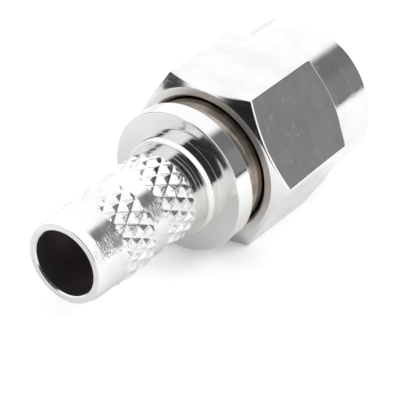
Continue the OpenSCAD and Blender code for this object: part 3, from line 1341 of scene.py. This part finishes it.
@dataclass
class SnapRing(Piece):
    """The split spring ring that holds the nut on the body."""

    outer_r: float = 3.52
    inner_r: float = 2.95
    split: float = 1.2
    rounding: float = 0.06
    columns: int = 140

    def build(self) -> bpy.types.Object:
        """Makes the ring, open at the bottom by the width of its split.

        Returns:
            The object.
        """
        back, front = self.ends(Node.SNAP_RING)
        outline = rounded_rows([
            (self.inner_r, back, self.rounding), (self.outer_r, back, self.rounding),
            (self.outer_r, front, self.rounding), (self.inner_r, front, self.rounding)])
        half = self.split / 2 / ((self.outer_r + self.inner_r) / 2)
        angles = np.linspace(-math.pi / 2 + half, 1.5 * math.pi - half, self.columns)
        surface = turned(outline, angles, round_closed=False)
        return self.mount("snap_ring_spring", surface, Node.SNAP_RING, Carrier.RING, Slot.RING, BRONZE)


@dataclass
class Gasket(Piece):
    """The rubber ring around the sleeve."""

    inner_r: float = 2.29
    wall: float = 0.41
    inner_rounding: float = 0.05
    outer_rounding: float = 0.12
    rounding_steps: int = 6
    columns: int = 128

    def build(self) -> bpy.types.Object:
        """Makes the gasket with well rounded edges.

        Returns:
            The object.
        """
        back, front = self.ends(Node.GASKET)
        outer_r = self.inner_r + self.wall
        outline = rounded_rows([
            (self.inner_r, back, self.inner_rounding), (outer_r, back, self.outer_rounding),
            (outer_r, front, self.outer_rounding), (self.inner_r, front, self.inner_rounding),
        ], self.rounding_steps)
        surface = turned(outline, full_circle(self.columns))
        return self.mount("gasket_ring", surface, Node.GASKET, Carrier.PLUG, Slot.GASKET, RUBBER)


@dataclass
class Insulator(Piece):
    """The white plastic between the sleeve and the centre contact."""

    outer_r: float = 2.055
    core_r: float = 0.645
    seat_r: float = 0.96
    seat_len: float = 0.8
    columns: int = 128

    def build(self) -> bpy.types.Object:
        """Makes the insulator with slightly eased edges.

        Returns:
            The object.
        """
        back, front = self.ends(Node.INSULATOR)
        step = back + self.seat_len
        outline = rounded_rows([
            (self.seat_r, back, 0.03), (self.outer_r, back, 0.05), (self.outer_r, front, 0.06),
            (self.core_r, front, 0.04), (self.core_r, step, 0.02), (self.seat_r, step, 0.02)])
        surface = turned(outline, full_circle(self.columns))
        return self.mount("insulator_core", surface, Node.INSULATOR, Carrier.PLUG, Slot.INSULATOR,
                          PLASTIC)


@dataclass
class CentreContact(Piece):
    """The gold plated pin with its shoulder and its crimp cup.

    The outline is rounded with its two ends on the axis held a hair off it, and both ends then
    give way to true points on the axis.
    """

    cup_bore_r: float = 0.5
    cup_r: float = 0.8
    cup_len: float = 3.0
    cup_depth: float = 2.6
    shoulder_r: float = 0.95
    shoulder_len: float = 0.8
    core_r: float = 0.635
    pin_r: float = 0.46
    tip_len: float = 0.4
    tip_r: float = 0.2
    hole_r: float = 0.2
    hole_reach: float = 1.2
    hole_columns: int = 32
    columns: int = 96
    rounding_steps: int = 5

    def build(self) -> bpy.types.Object:
        """Makes the contact, with the inspection hole through the wall of its cup.

        Returns:
            The object.
        """
        cup, tip = self.ends(Node.CENTRE_CONTACT)
        seat = cup + self.cup_len
        floor = cup + self.cup_depth
        hair, hair_rounding, ends_on_axis = 1e-4, 2e-5, 2
        corners = np.array([
            (hair, tip, hair_rounding),
            (hair, floor, hair_rounding),
            (self.cup_bore_r, floor, 0.05),
            (self.cup_bore_r, cup, 0.06),
            (self.cup_r, cup, 0.05),
            (self.cup_r, seat, 0.03),
            (self.shoulder_r, seat, 0.04),
            (self.shoulder_r, seat + self.shoulder_len, 0.04),
            (self.core_r, seat + self.shoulder_len, 0.02),
            (self.core_r, 0.0, 0.04),
            (self.pin_r, 0.0, 0.02),
            (self.pin_r, tip - self.tip_len, 0.12),
            (self.tip_r, tip, 0.1),
        ])
        rounded = smooth_corners(corners[:, :2], corners[:, 2], self.rounding_steps)
        outline = np.concatenate([[[0.0, floor]], outline_rows(rounded[ends_on_axis:]), [[0.0, tip]]])
        surface = turned(outline, full_circle(self.columns), along_closed=False)
        piece = self.mount("centre_contact_pin", surface, Node.CENTRE_CONTACT, Carrier.PLUG,
                           Slot.CONTACT, GOLD)
        self.weld_poles(piece.data)
        self.drill(piece, floor - 2 * self.hole_r)
        return piece

    @staticmethod
    def weld_poles(mesh: bpy.types.Mesh) -> None:
        """Merges the points that lie on the axis, which closes both poles.

        Args:
            mesh: The contact's mesh.
        """
        reach = 1e-8
        work = bmesh.new()
        work.from_mesh(mesh)
        bmesh.ops.remove_doubles(work, verts=work.verts[:], dist=reach)
        work.to_mesh(mesh)
        work.free()

    def drill(self, piece: bpy.types.Object, station: float) -> None:
        """Cuts the inspection hole, which runs up from the axis.

        Args:
            piece: The contact.
            station: Station of the hole's centre.
        """
        count = self.hole_columns
        angles = full_circle(count)
        along, across = station + self.hole_r * np.cos(angles), self.hole_r * np.sin(angles)
        ends = [np.stack([along, across, np.full(count, height)], axis=-1)
                for height in (0.0, self.hole_reach)]
        foot = np.arange(count)
        beside = (foot + 1) % count
        walls = np.stack([foot, beside, beside + count, foot + count], axis=-1)
        tool = Surface(np.concatenate(ends), walls, [foot[::-1], foot + count]).outward()
        drill = place_object("drill", tool.mesh("drill"))
        cut = piece.modifiers.new("inspection hole", "BOOLEAN")
        cut.operation, cut.solver, cut.object = "DIFFERENCE", "EXACT", drill
        graph = bpy.context.evaluated_depsgraph_get()
        result = bpy.data.meshes.new_from_object(piece.evaluated_get(graph))
        piece.modifiers.clear()
        piece.data = result
        bpy.data.objects.remove(drill)


# ---------------------------------------------------------------------------
# Studio
# ---------------------------------------------------------------------------


@dataclass(frozen=True)
class StudioCard:
    """A soft-edged part of the surroundings, seen in the metal.

    Attributes:
        name: What it is.
        level: Its brightness.
        sides: For each edge, a direction, how far along it the card starts and how soft it is.
        unevenness: How much its brightness drifts from place to place, as a share.
    """

    name: str
    level: float
    sides: tuple[tuple[Direction, float, float], ...]
    unevenness: float = 0.0


# The ways out from the plug: towards its mating side, its open end, the floor and both sides.
AHEAD, BEHIND, DOWN = (1.0, 0.0, 0.0), (-1.0, 0.0, 0.0), (0.0, 0.0, -1.0)
LAMP_SIDE, FAR_SIDE = (0.0, -1.0, 0.0), (0.0, 1.0, 0.0)


def past_tilt(degrees: float) -> Direction:
    """The direction square to a line tilted from straight up towards -Y, on its far side."""
    tilt = math.radians(degrees)
    return (0.0, -math.cos(tilt), -math.sin(tilt))


def before_tilt(degrees: float) -> Direction:
    """The opposite direction of past_tilt."""
    tilt = math.radians(degrees)
    return (0.0, math.cos(tilt), math.sin(tilt))


@dataclass
class Studio:
    """The floor, the surroundings, the lamp and the camera.

    Attributes:
        sky: Brightness of the white surroundings.
        tint: Their colour in the metal.
        cards: The darker parts of the surroundings, each over the ones before it.
        drift_scale: Scale of the noise that makes the walls uneven.
        drift_detail: Detail of that noise.
        floor_z: Height of the floor.
        floor_half: Half the floor's width.
        floor_tone: The floor's colour.
        floor_lift: What the floor adds to its own light towards the camera.
        floor_shine: What it adds in reflections.
        floor_painted_shadow: Its colour in reflections on the strip behind the stem, a painted shadow.
        strip_far: Y where that strip starts and where it is full.
        strip_back: X where it starts and where it is full.
        strip_end: Y where it has ended and where it starts to end.
        lamp_at: Place of the lamp.
        lamp_size: Width of the lamp.
        lamp_energy: Power of the lamp, in watts.
        camera_at: Place of the camera.
        forward: The direction that it looks in.
        right: The direction to the right of its frame.
        up: The direction to the top of its frame.
        lens: Its focal length.
        sensor: Its sensor's width.
        clip: The nearest and farthest distance that it sees, in metres.
    """

    sky: float = 1.24
    tint: Colour = (0.985, 1.0, 1.025, 1.0)
    cards: tuple[StudioCard, ...] = (
        StudioCard("grey side wall", 0.27, ((AHEAD, 0.5, 0.06), (past_tilt(15), 0.0, 0.1)), 0.5),
        StudioCard("side wall, upper part", 0.2, (
            (AHEAD, 0.5, 0.06), (past_tilt(20), 0.0, 0.06), (before_tilt(50), 0.0, 0.12)), 0.5),
        StudioCard("far edge of the table", 0.1, (
            (AHEAD, 0.45, 0.05), (DOWN, -0.045, 0.015), (LAMP_SIDE, 0.3, 0.05))),
        StudioCard("low strip behind", 0.05, (
            (BEHIND, 0.35, 0.06), (DOWN, -0.22, 0.04), (FAR_SIDE, 0.0, 0.1))),
        StudioCard("dark camera side", 0.018, ((BEHIND, 0.45, 0.05), (past_tilt(-18), 0.0, 0.04))),
        StudioCard("camera and its stand", 0.018, ((BEHIND, 0.88, 0.03),)),
    )
    drift_scale: float = 70.0
    drift_detail: float = 4.0
    floor_z: float = -4.0
    floor_half: float = 400.0
    floor_tone: Colour = (0.93, 0.93, 0.93, 1.0)
    floor_lift: float = 0.25
    floor_shine: float = 0.07
    floor_painted_shadow: Colour = (0.72, 0.715, 0.71, 1.0)
    strip_far: tuple[float, float] = (-4.0, 0.0)
    strip_back: tuple[float, float] = (-6.0, -9.0)
    strip_end: tuple[float, float] = (11.0, 3.0)
    lamp_at: Place = (25.0, -70.0, 70.0)
    lamp_size: float = 50.0
    lamp_energy: float = 0.036
    camera_at: Place = (-83.222, -57.846, 62.806)
    forward: Direction = (0.66691, 0.49646, -0.55566)
    right: Direction = (0.59894, -0.80078, 0.00338)
    up: Direction = (0.44329, 0.33507, 0.8314)
    lens: float = 223.02
    sensor: float = 36.0
    clip: tuple[float, float] = (0.001, 10.0)

    def build(self) -> None:
        """Makes the whole studio."""
        self.place_camera()
        self.lay_floor()
        self.set_surroundings()
        self.hang_lamp()
        bpy.context.scene.view_settings.view_transform = "Standard"

    def place_camera(self) -> None:
        """Makes the camera and sets it as the scene's."""
        data = bpy.data.cameras.new("camera")
        data.sensor_width, data.lens = self.sensor, self.lens
        data.clip_start, data.clip_end = self.clip
        camera = place_object("camera", data)
        turn = Matrix((self.right, self.up, [-part for part in self.forward])).transposed()
        camera.matrix_world = Matrix.Translation(Vector(self.camera_at) * MM) @ turn.to_4x4()
        bpy.context.scene.camera = camera

    def lay_floor(self) -> None:
        """Makes the plain pale floor that the plug lies on.

        Its colour is one tone, to which two things are added by the kind of ray: a little light towards
        the camera and in reflections, and, in reflections alone, a darker strip of painted shadow on
        the far side of the stem. The strip is the product of three soft steps over X and Y.
        """
        half, level = self.floor_half, self.floor_z
        corners = np.array([(-half, -half, level), (half, -half, level), (half, half, level),
                            (-half, half, level)])
        floor = place_object("floor", Surface(corners, np.array([[0, 1, 2, 3]])).mesh("floor"))
        material = bpy.data.materials.new("pale floor")
        material.use_nodes = True
        board = NodeBoard(material.node_tree)
        ray = board.add("ShaderNodeLightPath")
        place = board.add("ShaderNodeTexCoord").outputs["Object"]
        split = board.add("ShaderNodeSeparateXYZ", inputs={0: place})
        # Painted shadow: in reflections only, the floor is darker on a strip behind the stem.
        strip: Source = 1.0
        for axis, edges in (("Y", self.strip_far), ("X", self.strip_back), ("Y", self.strip_end)):
            step = board.ramp(split.outputs[axis], *(edge * MM for edge in edges))
            strip = board.times(strip, step)
        shade = board.times(strip, ray.outputs["Is Glossy Ray"])
        colour = board.mix(shade, self.floor_tone, self.floor_painted_shadow)
        paper = board.add("ShaderNodeBsdfDiffuse", inputs={"Color": colour})
        lift = board.times(ray.outputs["Is Camera Ray"], self.floor_lift)
        lift = board.times_plus(ray.outputs["Is Glossy Ray"], self.floor_shine, lift)
        glow = board.add("ShaderNodeEmission", inputs={"Color": WHITE, "Strength": lift})
        both = board.add("ShaderNodeAddShader", inputs={0: paper.outputs[0], 1: glow.outputs[0]})
        board.add("ShaderNodeOutputMaterial", inputs={"Surface": both.outputs[0]})
        floor.data.materials.append(material)

    def set_surroundings(self) -> None:
        """Makes the world: white, with the darker cards in the directions where they stand.

        A card's mask is the product, over its edges, of a soft step of the dot product between
        the direction looked along and the edge's own direction. Its own brightness drifts with
        a noise over the direction. What the camera sees past the floor is plain white.
        """
        world = bpy.data.worlds.new("studio")
        bpy.context.scene.world = world
        world.use_nodes = True
        board = NodeBoard(world.node_tree)
        looked = board.add("ShaderNodeTexCoord").outputs["Generated"]
        level: Source = self.sky
        drift = board.noise(looked, self.drift_scale, self.drift_detail)
        for card in self.cards:
            mask: Source = 1.0
            for direction, start, soft in card.sides:
                edge = board.ramp(board.dot(looked, direction), start - soft, start + soft)
                mask = board.times(mask, edge)
            own = board.times_plus(drift, 2 * card.level * card.unevenness,
                                   card.level * (1 - card.unevenness))
            change = board.math("SUBTRACT", own, level)
            level = board.times_plus(mask, change, level)
        seen = board.add("ShaderNodeLightPath").outputs["Is Camera Ray"]
        change = board.math("SUBTRACT", 1.0, level)
        strength = board.times_plus(seen, change, level)
        colour = board.mix(seen, self.tint, WHITE)
        shell = board.add("ShaderNodeBackground", inputs={"Color": colour, "Strength": strength})
        board.add("ShaderNodeOutputWorld", inputs={"Surface": shell.outputs[0]})

    def hang_lamp(self) -> None:
        """Hangs one wide soft lamp beside the plug, for the floor's soft shadow."""
        data = bpy.data.lights.new("side lamp", "AREA")
        data.shape, data.size, data.energy = "DISK", self.lamp_size * MM, self.lamp_energy
        lamp = place_object("side lamp", data)
        lamp.location = Vector(self.lamp_at) * MM
        lamp.rotation_euler = lamp.location.to_track_quat("Z", "Y").to_euler()
        lamp.visible_glossy = False


def main() -> None:
    """Loads the frame, builds the studio and every piece."""
    logging.basicConfig(level=logging.INFO, format="%(name)s: %(message)s")
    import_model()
    Studio().build()
    effects = Effects()
    for maker in (PlugBody, CouplingNut, SnapRing, Gasket, Insulator, CentreContact):
        maker(effects).build()


if __name__ == "__main__":
    main()
